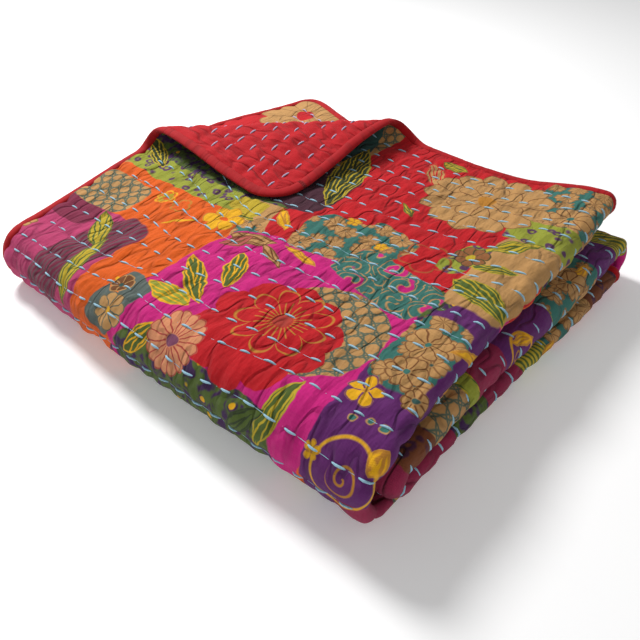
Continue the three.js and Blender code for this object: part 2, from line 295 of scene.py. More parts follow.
# %% From cloth to place
def place_on_blanket(across, along, offset=0.0):
    """The place of a point of the cloth, and how far across it lies on the flat cloth, in millimetres.

    across runs from -2 at the free edge of the upper leaf, over -1 to 1 round the long fold, to 2.
    """
    is_upper = across < 0
    side = 1 if is_upper else -1
    rough_y = way_point(along, 0, is_upper)[0]
    fold_radius = bulge_at(along) - HALF_THICK
    turn_x = reach_at(along, rough_y, fold_x) - max(fold_radius, LEAF_OFFSET)
    open_radius = max(fold_radius, 2.9)
    offset_x = 0
    offset_away = offset * side
    if abs(across) <= 1:
        turn = across * math.pi / 2
        x = turn_x + open_radius * math.cos(turn)
        away = -open_radius * math.sin(turn)
        offset_x = offset * math.cos(turn)
        offset_away = -offset * math.sin(turn)
        flat_x = turn_x + open_radius * (across + 1) * math.pi / 2
    else:
        edge = reach_at(along, rough_y, lambda band, y: edge_x(band, is_upper, y))
        x = turn_x - (abs(across) - 1) * (turn_x - edge)
        closed = min(LEAF_OFFSET, open_radius)
        away = side * lerp(closed, open_radius, ease(x, turn_x - OPENING_LENGTH, turn_x))
        flat_x = x if is_upper else 2 * turn_x + math.pi * open_radius - x
    y, z, angle = way_point(along, x, is_upper)
    if along < STARTS[1] and across < -1:
        return turn_back(x, y, z + away, offset), flat_x
    reach = away + offset_away
    place = Vector((x + offset_x, y - reach * math.sin(angle), max(z + reach * math.cos(angle), 0)))
    return place, flat_x


def leaf_width(along, is_upper):
    y = way_point(along, 0, is_upper)[0]
    edge = reach_at(along, y, lambda band, at_y: edge_x(band, is_upper, at_y))
    return reach_at(along, y, fold_x) - bulge_at(along) - edge


def trimmed(across, along):
    """across, drawn in where the corner of the cloth is rounded."""
    if abs(across) <= 1:
        return across
    is_upper = across < 0
    radius = TURNED_CORNER_ROUND if is_upper and along < TOTAL_LENGTH / 2 else CORNER_ROUND
    from_end = min(along, TOTAL_LENGTH - along)
    inset = radius - math.sqrt(radius ** 2 - (radius - from_end) ** 2) if from_end < radius else 0
    part = 1 - inset / leaf_width(along, is_upper)
    return math.copysign(1 + (abs(across) - 1) * part, across)


# %% [markdown]
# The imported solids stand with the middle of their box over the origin, and the folds above are measured
# from another point. The difference is a small shift, the same for every piece.

# %% Shift into the frame
SHIFT = Vector((-0.35, -2.2, 0))


def in_frame(place):
    return (place + SHIFT) / 1000


# %% [markdown]
# ## The quilting
# Hand quilting is a thin relief: each row of stitches draws the cloth down into a trough, the filling
# stands up between the rows, and every stitch puckers the cloth a little. The rows wander, as a hand's do.
# The relief is a height over the flat cloth, so it bends round every fold with the cloth.


# %% Rows and puckers
def wander(x, y, z):
    """A smooth random number, always the same at the same place."""
    return noise.noise(Vector((x, y, z)))


STITCH_PITCH = 18.5
PUFF_HALF = 2.7
TROUGH_HALF = 0.6
UNDER_HALF = 2.0
ROW_CLOSING = 0.27


def row_line(row, flat_x):
    """Where a row of stitches lies along the cloth, in millimetres."""
    straight = row * ROW_PITCH
    closing = ROW_CLOSING * ease(-flat_x, 40, 170) * (1 - ease(straight, 150, 330))
    slow = wander(flat_x / 95, row * 0.83, 0)
    quick = wander(flat_x / 34, row * 5.3, 9)
    return straight * (1 - closing) + 7 * slow + 1.5 * quick


def stitch_phase(row):
    return STITCH_PITCH * (0.5 + wander(row * 1.9, 4.4, 2.2))


def row_distance(flat_x, along):
    """Distance to the nearest row of stitches and that row's number."""
    guess = round(along / ROW_PITCH)
    return min((abs(along - row_line(row, flat_x)), row) for row in range(guess - 1, guess + 4))


def is_under(along):
    before = ease(along, STARTS[2] - 30, STARTS[2])
    return before * (1 - ease(along, STARTS[3], STARTS[3] + 30))


def half_thickness(flat_x, along):
    distance, row = row_distance(flat_x, along)
    risen = 1 - math.exp(-((distance / 4.6) ** 1.2))
    stitch = math.cos(2 * math.pi * (flat_x - stitch_phase(row)) / STITCH_PITCH)
    pucker = 0.7 * stitch * math.exp(-distance / 6)
    crease = wander(flat_x / 6.5, along / 20, 1.7)
    quilted = lerp(TROUGH_HALF, PUFF_HALF, risen) - pucker + 0.75 * crease * risen
    return lerp(min(max(quilted, 0.5), 3.2), UNDER_HALF, is_under(along))


def undulation(flat_x, along):
    """How far the whole cloth rises over its even folds, in millimetres."""
    distance, row = row_distance(flat_x, along)
    swell = wander(flat_x / 46, along / 33, 5.1)
    crinkle = wander(flat_x / 12, along / 30, 8.2)
    return (1.4 * swell + 2.6 * crinkle * min(distance / 8, 1)) * (1 - is_under(along))


# %% Spacing of the sheet's net
def spaced(*runs):
    """Numbers from run to run: each run is (start, end, steps)."""
    values = [runs[0][0]]
    for start, end, steps in runs:
        values += [lerp(start, end, step / steps) for step in range(1, steps + 1)]
    return values


ACROSS = spaced((-2, -1, 132), (-1, 1, 16), (1, 2, 24))
ALONG = spaced(
    (0, STARTS[2], 138), (STARTS[2], STARTS[3], 16), (STARTS[3], STARTS[4], 12),
    (STARTS[4], STARTS[5], 48), (STARTS[5], STARTS[6], 10), (STARTS[6], TOTAL_LENGTH, 44),
)
print("net of", len(ACROSS), "by", len(ALONG), "points")


# %% A net over the cloth
def grid_mesh(columns, rows):
    """A bmesh grid, with the column and row of each vertex."""
    net_mesh = bmesh.new()
    bmesh.ops.create_grid(net_mesh, x_segments=columns - 1, y_segments=rows - 1, size=1)
    spots = {
        vertex: (round((vertex.co.x + 1) / 2 * (columns - 1)), round((vertex.co.y + 1) / 2 * (rows - 1)))
        for vertex in net_mesh.verts
    }
    return net_mesh, spots


def map_net(net, spots):
    """Smooth faces, and a map of where each vertex lies on the flat cloth."""
    uv_layer = net.loops.layers.uv.new("flat_cloth")
    for face in net.faces:
        face.smooth = True
        for loop in face.loops:
            loop[uv_layer].uv = spots[loop.vert]


# %% [markdown]
# The cloth has three regions, each with a printed finish of its own, because one finish holds only so many
# motifs: the left of the top, its right, and the bands at the side. The motifs go on over the borders.

# %% The quilted sheet
BORDER_ACROSS = 30
BORDER_ALONG = 470
FAR = 5000
REGIONS = {
    "printed_left": ((-FAR, BORDER_ACROSS), (-FAR, BORDER_ALONG)),
    "printed_right": ((BORDER_ACROSS, FAR), (-FAR, BORDER_ALONG)),
    "printed_bands": ((-FAR, FAR), (BORDER_ALONG, FAR)),
}
SPARE = 12


def region_number(flat_x, along):
    if along > BORDER_ALONG:
        return 2
    return 1 if flat_x > BORDER_ACROSS else 0


sheet_net, sheet_spots = grid_mesh(len(ACROSS), len(ALONG))
flat_places = {}
puffs = {}
for vertex, (column, row) in sheet_spots.items():
    along = ALONG[row]
    across = trimmed(ACROSS[column], along)
    flat_x = place_on_blanket(across, along)[1]
    is_outer = across < 1 and along < STARTS[2]
    rise = undulation(flat_x, along) if is_outer else 0
    place = place_on_blanket(across, along, rise)[0]
    vertex.co = in_frame(place)
    flat_places[vertex] = (flat_x / 1000, along / 1000)
    puffs[vertex.index] = half_thickness(flat_x, along)

map_net(sheet_net, flat_places)
for face in sheet_net.faces:
    across = sum(flat_places[corner][0] for corner in face.verts) / 4
    along = sum(flat_places[corner][1] for corner in face.verts) / 4
    face.material_index = 2 * region_number(1000 * across, 1000 * along)
bmesh.ops.reverse_faces(sheet_net, faces=sheet_net.faces)
sheet = object_from_net("quilted_sheet", sheet_net)
print("sheet faces:", len(sheet.data.polygons))

# %% [markdown]
# The sheet is one layer of faces so far. Solidify gives it its two faces and its thickness, and a vertex
# group says where the filling is: nothing at the rows of stitches, full between them.

# %% Thickness from Solidify
FULL_HALF = 3.2
group = sheet.vertex_groups.new(name="filling")
for index, half in puffs.items():
    group.add([index], min(half / FULL_HALF, 1), "REPLACE")
solid = sheet.modifiers.new("filling", "SOLIDIFY")
solid.thickness = 2 * FULL_HALF / 1000
solid.offset = 0
solid.vertex_group = "filling"
solid.thickness_vertex_group = 0.05
solid.material_offset = 1
solid.material_offset_rim = 1
print("filling from", round(min(puffs.values()), 2), "to", round(max(puffs.values()), 2), "mm each way")

# %% [markdown]
# ## The binding
# A strip of red cotton is folded over the cut edge and sewn down. It is a rolled bead about 9 mm wide, a
# little uneven, pulled in where it is stitched. A closed net goes all the way round the edge: one side of
# the net follows the edge, the other goes round the bead.

# %% The way round the edge
BEAD_IN = -2.4
BEAD_OUT = 8.0
BEAD_HALF = 3.1
BEAD_SIDES = 12
EDGE_STEP = 4.0


def edge_way():
    """Points of the cloth's edge, in order: all of one end, a side, the other end and the other side."""
    count = round(TOTAL_LENGTH / EDGE_STEP)
    stations = [TOTAL_LENGTH * step / count for step in range(count + 1)]
    close = [1, 2.5, 5, 8, 11]
    stations = sorted({*stations, *close, *[TOTAL_LENGTH - near for near in close]})
    end_columns = spaced((-2, -1, 100), (-1, 1, 12), (1, 2, 100))
    first = [(trimmed(across, 0), 0) for across in end_columns[1:-1]]
    last = [(trimmed(across, TOTAL_LENGTH), TOTAL_LENGTH) for across in end_columns[1:-1]]
    lower = [(trimmed(2, along), along) for along in stations]
    upper = [(trimmed(-2, along), along) for along in stations]
    return first + lower + last[::-1] + upper[::-1]


edge = edge_way()
print("edge points:", len(edge))


# %% The bead
def edge_spot(index):
    before_across, before_along = edge[index - 1]
    after_across, after_along = edge[(index + 1) % len(edge)]
    across, along = edge[index]
    width = leaf_width(along, across < 0)
    goes_across = (after_across - before_across) * width
    goes_along = after_along - before_along
    length = math.hypot(goes_across, goes_along)
    return across, along, goes_along / length / width, -goes_across / length


edge_places = []
gone = 0.0
for index, (across, along) in enumerate(edge):
    place = in_frame(place_on_blanket(across, along)[0])
    if edge_places:
        gone += (place - edge_places[-1][0]).length
    edge_places.append((place, gone))

bead_net, bead_spots = grid_mesh(len(edge) + 1, BEAD_SIDES + 1)
bead_uvs = {}
for vertex, (column, side) in bead_spots.items():
    index = column % len(edge)
    across, along, out_across, out_along = edge_spot(index)
    run = edge_places[index][1] * 1000
    around = 2 * math.pi * side / BEAD_SIDES
    pinch = 0.35 * wander(run / 5.5, 3.3, 0) + 0.3 * wander(run / 17, 1.1, 4)
    middle_out = (BEAD_IN + BEAD_OUT) / 2 + 0.6 * wander(run / 40, 7.7, 2)
    out = middle_out + (BEAD_OUT - BEAD_IN) / 2 * (1 + 0.05 * pinch) * math.cos(around)
    rise = BEAD_HALF * (1 + 0.35 * pinch) * math.sin(around) * (1 - 0.18 * math.cos(around))
    spot = place_on_blanket(across + out * out_across, along + out * out_along, rise)[0]
    vertex.co = in_frame(spot)
    bead_uvs[vertex] = (run / 1000 if column < len(edge) else run / 1000 + 0.004, side / BEAD_SIDES)
map_net(bead_net, bead_uvs)
bmesh.ops.remove_doubles(bead_net, verts=bead_net.verts, dist=1e-6)
bmesh.ops.recalc_face_normals(bead_net, faces=bead_net.faces)
bead = object_from_net("bound_edge", bead_net)
print("binding faces:", len(bead.data.polygons))

# %% [markdown]
# ## The stitches
# The thread runs in a line along each row: it shows as a thick dash, dips through the cloth, and shows
# again, and between the dashes a thin shadow of it can be seen. A poly curve with a radius at each point
# draws both with one spline, and it is turned into a mesh at the end.

# %% One row of thread
DASH = 9.8
DASH_RADIUS = 0.9
LINK_RADIUS = 0.14
DASH_SHAPE = (
    (0, 0.12, -0.05), (0.12, 0.7, 0.4), (0.35, 1, 0.85),
    (0.65, 1, 0.85), (0.88, 0.7, 0.4), (1, 0.12, -0.05),
)


def thread_points(row, first, last, face_side):
    """Points and radii of the thread of one row, between two places across the flat cloth."""
    points = []
    start = first + stitch_phase(row) % STITCH_PITCH
    for number in range(int((last - start) / STITCH_PITCH)):
        jitter = 2.2 * wander(row * 2.3, number * 1.7, 6)
        long = DASH * (1 + 0.3 * wander(row * 1.1, number * 2.9, 3))
        dash_start = start + number * STITCH_PITCH + jitter
        for part, width, lift in DASH_SHAPE:
            radius = LINK_RADIUS + (DASH_RADIUS - LINK_RADIUS) * width
            points.append((dash_start + part * long, radius, lift * DASH_RADIUS * face_side))
    return points


def across_at(flat_x, along):
    """The across value of a place on the flat cloth."""
    turn_x = place_on_blanket(-1, along)[1]
    if flat_x <= turn_x:
        left = place_on_blanket(-2, along)[1]
        return -1 - (turn_x - flat_x) / (turn_x - left)
    far = place_on_blanket(1, along)[1]
    if flat_x <= far:
        return -1 + 2 * (flat_x - turn_x) / (far - turn_x)
    return 1 + (flat_x - far) / (place_on_blanket(2, along)[1] - far)


def lay_thread(curve, row, first, last, face_side):
    points = thread_points(row, first, last, face_side)
    if len(points) < 6:
        return 0
    spline = curve.splines.new("POLY")
    spline.points.add(len(points) - 1)
    for point, (flat_x, radius, lift) in zip(spline.points, points):
        along = row_line(row, flat_x)
        across = across_at(flat_x, along)
        rise = undulation(flat_x, along) if across < 1 and along < STARTS[2] else 0
        surface = half_thickness(flat_x, along) * face_side
        place = in_frame(place_on_blanket(across, along, rise + surface + lift)[0])
        point.co = (*place, 1)
        point.radius = radius / 1000
    return len(points)


# %% Thread on the printed side and on the plain side
def thread_object(name, rows):
    curve = bpy.data.curves.new(name, "CURVE")
    curve.dimensions = "3D"
    curve.bevel_depth = 1
    curve.bevel_resolution = 1
    curve.use_fill_caps = True
    laid = sum(lay_thread(curve, *row) for row in rows)
    rough = add_object(name, curve)
    bpy.context.view_layer.update()
    evaluated = rough.evaluated_get(bpy.context.evaluated_depsgraph_get())
    mesh = bpy.data.meshes.new_from_object(evaluated)
    bpy.data.objects.remove(rough)
    bpy.data.curves.remove(curve)
    print(name, "points:", laid, "faces:", len(mesh.polygons))
    return add_object(name, mesh)


EDGE_MARGIN = 6
SHOWN_CORNER = 150
TURNED_LENGTH = 240
SIDE_START = 130
SIDE_END = 30
MOSTLY_UNDER = 0.4
outer_rows = []
plain_rows = []
for row in range(1, int(TOTAL_LENGTH / ROW_PITCH) + 1):
    along = row * ROW_PITCH
    if along > TOTAL_LENGTH - EDGE_MARGIN or is_under(along) > MOSTLY_UNDER:
        continue
    left = place_on_blanket(trimmed(-2, along), along)[1] + EDGE_MARGIN
    far = place_on_blanket(1, along)[1]
    if along < STARTS[2]:
        outer_rows.append((row, left, far + EDGE_MARGIN, 1))
    else:
        outer_rows.append((row, far - SIDE_START, far + SIDE_END, 1))
    if along < STARTS[1]:
        plain_rows.append((row, left, left + TURNED_LENGTH, -1))
    if along < SHOWN_CORNER:
        right = place_on_blanket(trimmed(2, along), along)[1] - EDGE_MARGIN
        plain_rows.append((row, right - SHOWN_CORNER, right, -1))
stitches = thread_object("pale_stitches", outer_rows)
plain_stitches = thread_object("stitches_on_red", plain_rows)

# %% [markdown]
# ## Finishes
# Colours are given as they look on a screen and turned into the linear values that shaders use. Small
# helpers add the nodes, so that a finish reads like a sum: each takes sockets or plain numbers.


# %% Colours and node helpers
def colour(red, green, blue):
    def linear(value):
        part = value / 255
        return part / 12.92 if part <= 0.04045 else ((part + 0.055) / 1.055) ** 2.4
    return (linear(red), linear(green), linear(blue), 1)


def tree_of(values):
    """The node tree of the first socket among some values."""
    return next(value.id_data for value in values if isinstance(value, bpy.types.NodeSocket))


def feed(socket, value):
    """Links a socket to another one, or gives it a plain value."""
    if isinstance(value, bpy.types.NodeSocket):
        socket.id_data.links.new(value, socket)
    else:
        socket.default_value = value


def feed_all(node, values):
    for socket, value in zip(node.inputs, values):
        feed(socket, value)


def set_up(node, values):
    for socket_name, value in values.items():
        feed(node.inputs[socket_name], value)
    return node.outputs


def maths(operation, *values, clamp=False):
    node = tree_of(values).nodes.new("ShaderNodeMath")
    node.operation = operation
    node.use_clamp = clamp
    feed_all(node, values)
    return node.outputs[0]


plus = partial(maths, "ADD")
minus = partial(maths, "SUBTRACT")
times = partial(maths, "MULTIPLY")
times_plus = partial(maths, "MULTIPLY_ADD")
divided = partial(maths, "DIVIDE")
absolute = partial(maths, "ABSOLUTE")
sine = partial(maths, "SINE")


def vectors(operation, *values, output="Vector"):
    node = tree_of(values).nodes.new("ShaderNodeVectorMath")
    node.operation = operation
    feed_all(node, values)
    return node.outputs[output]


def mixed(part, one, other, blend="MIX"):
    node = tree_of((part, one, other)).nodes.new("ShaderNodeMix")
    node.data_type = "RGBA"
    node.blend_type = blend
    feed(node.inputs["Factor"], part)
    feed(node.inputs[6], one)
    feed(node.inputs[7], other)
    return node.outputs[2]


PRINT_SHARPNESS = 1.3


def edge_mask(inside):
    """1 where inside is over 0, in millimetres, with a soft printed edge."""
    return times_plus(inside, PRINT_SHARPNESS, 0.5, clamp=True)


def noise_field(place, scale, detail, output="Fac", rough=0.5):
    node = place.id_data.nodes.new("ShaderNodeTexNoise")
    return set_up(node, {"Vector": place, "Scale": scale, "Detail": detail, "Roughness": rough})[output]


def cells(place, size, randomness, metric="EUCLIDEAN"):
    node = place.id_data.nodes.new("ShaderNodeTexVoronoi")
    node.distance = metric
    return set_up(node, {"Vector": place, "Scale": 1 / size, "Randomness": randomness})


def new_group(name, places, numbers, outputs):
    """A node group with vector inputs, number inputs with their usual values, and number outputs."""
    tree = bpy.data.node_groups.new(name, "ShaderNodeTree")
    for socket_name in places:
        tree.interface.new_socket(socket_name, in_out="INPUT", socket_type="NodeSocketVector")
    for socket_name, value in numbers.items():
        socket = tree.interface.new_socket(socket_name, in_out="INPUT", socket_type="NodeSocketFloat")
        socket.default_value = value
    for socket_name in outputs:
        tree.interface.new_socket(socket_name, in_out="OUTPUT", socket_type="NodeSocketFloat")
    return tree, tree.nodes.new("NodeGroupInput").outputs, tree.nodes.new("NodeGroupOutput").inputs


def placed(group_tree, **values):
    """Places a group in the tree of its place, with its inputs by name."""
    node = values["Place"].id_data.nodes.new("ShaderNodeGroup")
    node.node_tree = group_tree
    return set_up(node, values)


def new_finish(name):
    material = bpy.data.materials.new(name)
    material.use_nodes = True
    return material, material.node_tree, material.node_tree.nodes["Principled BSDF"]


# %% Places in a motif
def axis(turn):
    """The long axis of a motif that is turned by an angle, back edge away from the looker."""
    return (math.cos(turn), -math.sin(turn), 0)


def parts_of(vector):
    """The first two parts of a vector, by dot products: a Separate XYZ node costs the shader more room."""
    return (
        vectors("DOT_PRODUCT", vector, (1, 0, 0), output="Value"),
        vectors("DOT_PRODUCT", vector, (0, 1, 0), output="Value"),
    )


def turned_place(given):
    """How far a place lies from a motif's middle, along its long axis and across it."""
    moved = vectors("SUBTRACT", given["Place"], given["Middle"])
    cross_axis = vectors("CROSS_PRODUCT", (0, 0, 1), given["Axis"])
    return (
        vectors("DOT_PRODUCT", moved, given["Axis"], output="Value"),
        vectors("DOT_PRODUCT", moved, cross_axis, output="Value"),
    )


def around(place, middle):
    """How far a place lies from a motif's middle, and in which direction, as an angle."""
    moved = vectors("SUBTRACT", place, middle)
    distance = vectors("LENGTH", moved, output="Value")
    way_x, way_y = parts_of(moved)
    return distance, maths("ARCTAN2", way_y, way_x)


# %% [markdown]
# ### The motifs
# The print is made of a few old and common shapes: blots of plain colour, round many-petalled flowers,
# striped leaves, curling vines. Each is a node group that works out, for any place on the flat cloth,
# how far inside the shape it lies. The same groups are used over and over with other sizes and colours.

# %% A patch of colour
patch_tree, given, out = new_group("patch", ("Place", "Middle", "Half", "Axis"), {}, ["Mask"])
along_x, along_y = turned_place(given)
half_x, half_y = parts_of(given["Half"])
part_x = maths("POWER", absolute(divided(along_x, half_x)), 5)
part_y = maths("POWER", absolute(divided(along_y, half_y)), 5)
reach = maths("POWER", plus(part_x, part_y), 0.2)
short = maths("MINIMUM", half_x, half_y)
feed(out["Mask"], edge_mask(times(minus(1, reach), short)))

# %% A round flower
flower_tree, given, out = new_group(
    "round_flower", ("Place", "Middle"), {"Radius": 15, "Petals": 8, "Depth": 0.25, "Heart": 0.2, "Turn": 0},
    ("Petals", "Lines", "Heart", "Rim"),
)
distance, angle = around(given["Place"], given["Middle"])
angle = plus(angle, given["Turn"])
wave = absolute(maths("COSINE", times(angle, times(given["Petals"], 0.5))))
dip = times(minus(1, maths("POWER", wave, 0.6)), given["Depth"])
petal_reach = times(given["Radius"], minus(1, dip))
inside = minus(petal_reach, distance)
petal_mask = edge_mask(inside)
feed(out["Petals"], petal_mask)
heart_inside = minus(times(given["Radius"], given["Heart"]), distance)
feed(out["Heart"], edge_mask(heart_inside))
gap = divided(times(wave, distance), given["Petals"])
thin = times(minus(0.7, times(gap, 2)), 2, clamp=True)
outer_part = times(heart_inside, -1, clamp=True)
rim = minus(1.5, absolute(inside), clamp=True)
feed(out["Rim"], rim)
drawn = maths("MAXIMUM", times(thin, outer_part), rim)
feed(out["Lines"], times(drawn, petal_mask))

# %% A striped leaf
leaf_tree, given, out = new_group(
    "striped_leaf", ("Place", "Middle", "Axis"),
    {"Length": 50, "Width": 18, "Stripe": 4.2}, ("Mask", "Stripes"),
)
along_x, along_y = turned_place(given)
end_part = divided(along_x, times(given["Length"], 0.5))
taper = minus(1, times(end_part, end_part))
half_width = times(times(given["Width"], 0.5), taper)
side_way = absolute(along_y)
inside = minus(half_width, side_way)
leaf_mask = edge_mask(inside)
feed(out["Mask"], leaf_mask)
slanted = times_plus(along_x, 0.12, side_way)
beat = sine(divided(times(slanted, 2 * math.pi), given["Stripe"]))
stripes = times_plus(beat, 2.0, -0.55, clamp=True)
rim = minus(1.8, absolute(inside), clamp=True)
feed(out["Stripes"], times(maths("MAXIMUM", stripes, rim), leaf_mask))

# %% A curling vine
vine_tree, given, out = new_group(
    "curling_vine", ("Place", "Middle"),
    {"Start": 1, "Growth": 1.1, "Reach": 20, "Turn": 0, "Thick": 0.8}, ["Mask"],
)
distance, angle = around(given["Place"], given["Middle"])
angle = plus(angle, given["Turn"])
arm = minus(distance, times_plus(angle, given["Growth"], given["Start"]))
turn_step = times(given["Growth"], 2 * math.pi)
off_line = maths("PINGPONG", arm, times(turn_step, 0.5))
on_line = edge_mask(minus(given["Thick"], off_line))
within = edge_mask(minus(given["Reach"], distance))
feed(out["Mask"], times(on_line, within))
print("motif groups:", [tree.name for tree in bpy.data.node_groups])

# %% [markdown]
# ### The palette
# Cotton prints of this kind are strong and a little uneven: deep red, orange, magenta, purple and mauve
# grounds, with tan, teal, green and yellow drawn over them.

# %% Palette
RED = colour(196, 10, 24)
ORANGE = colour(228, 94, 4)
MAGENTA = colour(206, 24, 124)
PURPLE = colour(98, 32, 104)
MAUVE = colour(186, 58, 106)
PLUM = colour(128, 34, 66)
TAN = colour(194, 146, 88)
DARK_TAN = colour(118, 70, 32)
TEAL = colour(54, 114, 104)
DARK_TEAL = colour(52, 88, 82)
LIME = colour(152, 158, 50)
GREEN = colour(84, 104, 40)
DARK_GREEN = colour(52, 66, 34)
YELLOW = colour(240, 178, 16)
OLIVE = colour(196, 170, 40)
GOLD = colour(196, 132, 44)
PINK_TAN = colour(224, 148, 104)
CRIMSON = colour(150, 32, 72)
REVERSE_RED = colour(192, 8, 24)
BINDING_RED = colour(170, 8, 20)

# %% Print: the cloth's own coordinates
def cloth_place(tree, side_scale=1000):
    """The place on the flat cloth in millimetres, from the sheet's own map."""
    uv_node = tree.nodes.new("ShaderNodeUVMap")
    uv_node.uv_map = "flat_cloth"
    return vectors("MULTIPLY", uv_node.outputs[0], (1000, side_scale, 0))


def shaken_place(place, scale, strength):
    """The place moved about a little, so that printed edges are not ruled lines."""
    off = vectors("SUBTRACT", noise_field(place, scale, 1.5, "Color"), (0.5, 0.5, 0.5))
    return vectors("ADD", place, vectors("MULTIPLY", off, (strength, strength, 0)))


# %% Print: fields that fill a patch
LATTICE_TURN = math.pi / 15
SPOT_SIZE = 10.5
DOT_SIZE = 15


def lens_lines(one, other):
    wave_one = absolute(sine(one))
    wave_other = times(absolute(maths("COSINE", other)), 0.4)
    return times_plus(absolute(minus(wave_one, wave_other)), -4.4, 1.45, clamp=True)


def printed_fields(place):
    """Every repeating design, by name."""
    middle = cells(place, 21, 0.4)["Position"]
    daisy = placed(flower_tree, Place=place, Middle=middle, Radius=11, Petals=9, Depth=0.2, Heart=0.17)
    daisies = mixed(daisy["Petals"], TEAL, TAN)
    daisies = mixed(times(daisy["Lines"], 0.75), daisies, DARK_TAN)
    daisies = mixed(daisy["Heart"], daisies, DARK_TEAL)

    cloth_u, cloth_v = parts_of(place)
    slant_a = times(plus(cloth_u, cloth_v), LATTICE_TURN)
    slant_b = times(minus(cloth_u, cloth_v), LATTICE_TURN)
    lattice_lines = maths("MAXIMUM", lens_lines(slant_a, slant_b), lens_lines(slant_b, slant_a))
    lattice = mixed(times(lattice_lines, 0.9), TAN, colour(66, 98, 86))

    spot_gone = times(cells(place, SPOT_SIZE, 0.75)["Distance"], SPOT_SIZE)
    spot_rings = minus(1.7, absolute(minus(spot_gone, 3)), clamp=True)
    spots = mixed(spot_rings, LIME, colour(92, 52, 92))
    brown = mixed(spot_rings, colour(122, 66, 34), colour(78, 34, 60))

    swirl_far, swirl_angle = around(place, cells(place, 25, 0.7)["Position"])
    swirl_wave = sine(times_plus(swirl_far, 0.75, swirl_angle))
    swirls = mixed(maths("GREATER_THAN", swirl_wave, -0.1), TEAL, MAGENTA)
    swirls = mixed(edge_mask(minus(swirl_far, 11.8)), swirls, TEAL)
    swirls = mixed(minus(1.1, times(absolute(swirl_wave), 2.4), clamp=True), swirls, TAN)

    dot_gone = times(cells(place, DOT_SIZE, 0.8)["Distance"], DOT_SIZE)
    blots = times_plus(noise_field(place, 0.12, 1), 9, -4.2, clamp=True)
    dark = mixed(blots, GREEN, colour(66, 32, 82))
    dark = mixed(edge_mask(minus(2.4, dot_gone)), dark, YELLOW)
    dark = mixed(minus(1.2, absolute(minus(dot_gone, 4.6)), clamp=True), dark, GREEN)

    wavy = sine(times_plus(cloth_u, 1.15, times(cloth_v, 0.35)))
    waves = mixed(times_plus(wavy, 1.5, 0.3, clamp=True), PLUM, colour(112, 74, 84))
    striped = sine(times_plus(cloth_v, 1.3, times(cloth_u, 0.5)))
    stripes = mixed(times_plus(striped, 1.4, 0.5, clamp=True), GREEN, OLIVE)
    return {
        "daisies": daisies, "lattice": lattice, "spots": spots, "brown": brown,
        "swirls": swirls, "dark": dark, "waves": waves, "stripes": stripes,
    }


# %% Print: the patchwork under all
PATCH_SIZE = 88
GROUNDS = (
    (0.12, "daisies"), (0.24, MAGENTA), (0.36, TAN), (0.46, RED), (0.56, "lattice"),
    (0.66, ORANGE), (0.76, "spots"), (0.86, "stripes"), (0.93, "dark"),
)


def patchwork(place, fields):
    """A patch of ground under every place, for cloth that no named patch covers."""
    patch_cells = cells(vectors("ADD", place, (37, 12, 0)), PATCH_SIZE, 0.5, "CHEBYCHEV")
    patch_number = place.id_data.nodes.new("ShaderNodeSeparateColor")
    feed(patch_number.inputs[0], patch_cells["Color"])
    ground = PURPLE
    for start, fill in GROUNDS:
        beyond = maths("GREATER_THAN", patch_number.outputs[0], start)
        ground = mixed(beyond, ground, fields.get(fill, fill))
    return ground


# %% Print: named patches, in the order that they lie on each other
PATCHES = (
    # The top, from its large grounds to the small pieces on them.
    ((65, 105), (95, 145), 0, RED), ((-140, 330), (108, 104), 0, ORANGE),
    ((60, 335), (100, 100), 0, MAGENTA), ((-172, 368), (78, 72), 0.1, MAUVE),
    ((-192, 310), (30, 15), 0, PLUM), ((-128, 350), (24, 62), -0.25, "waves"),
    ((-205, 271), (56, 26), 0, "lattice"), ((-142, 215), (92, 16), 0, "spots"),
    ((-56, 214), (18, 12), 0, OLIVE), ((52, 418), (80, 38), 0, "dark"),
    ((-47, 370), (18, 29), -0.35, colour(92, 104, 98)), ((-130, 180), (110, 22), 0, "dark"),
    ((228, 340), (71, 112), 0, PURPLE), ((222, 428), (40, 24), 0, CRIMSON),
    ((178, 292), (21, 39), 0, "daisies"), ((182, 178), (27, 58), 0, TAN),
    ((182, 102), (32, 22), 0, "spots"), ((190, 40), (44, 46), 0, "daisies"),
    ((144, 172), (12, 24), -0.25, "spots"), ((40, 208), (34, 30), 0.15, "daisies"),
    ((76, 188), (28, 22), -0.3, "daisies"), ((112, 236), (48, 24), -0.25, "swirls"),
    # The dark teal and dark plum patches at (-62, 50) and (-28, 150) lie in the hollow under the turned-back
    # corner. They are the print's teal and plum, made darker there as painted shade.
    ((-62, 50), (24, 42), 0.3, DARK_TEAL), ((-28, 150), (30, 44), 0, colour(70, 30, 46)),
    # The bands at the side, from the top down.
    ((228, 866), (60, 14), 0, "stripes"), ((228, 905), (60, 26), 0, PURPLE),
    ((228, 965), (60, 42), 0, "daisies"), ((228, 1046), (60, 38), 0, PURPLE),
    ((228, 1101), (60, 19), -0.2, CRIMSON), ((228, 1125), (60, 5), -0.1, LIME),
    ((228, 1153), (60, 23), 0, "lattice"), ((228, 1192), (60, 18), 0, "brown"),
    ((220, 1248), (60, 44), 0, CRIMSON), ((220, 1312), (60, 22), 0.2, "dark"),
    ((220, 1358), (60, 26), 0, CRIMSON), ((220, 1402), (60, 20), 0.15, "stripes"),
    ((220, 1460), (60, 40), 0, "daisies"), ((220, 1530), (60, 32), 0, "brown"),
    ((190, 505), (44, 48), 0, CRIMSON), ((236, 500), (14, 44), 0, LIME),
)

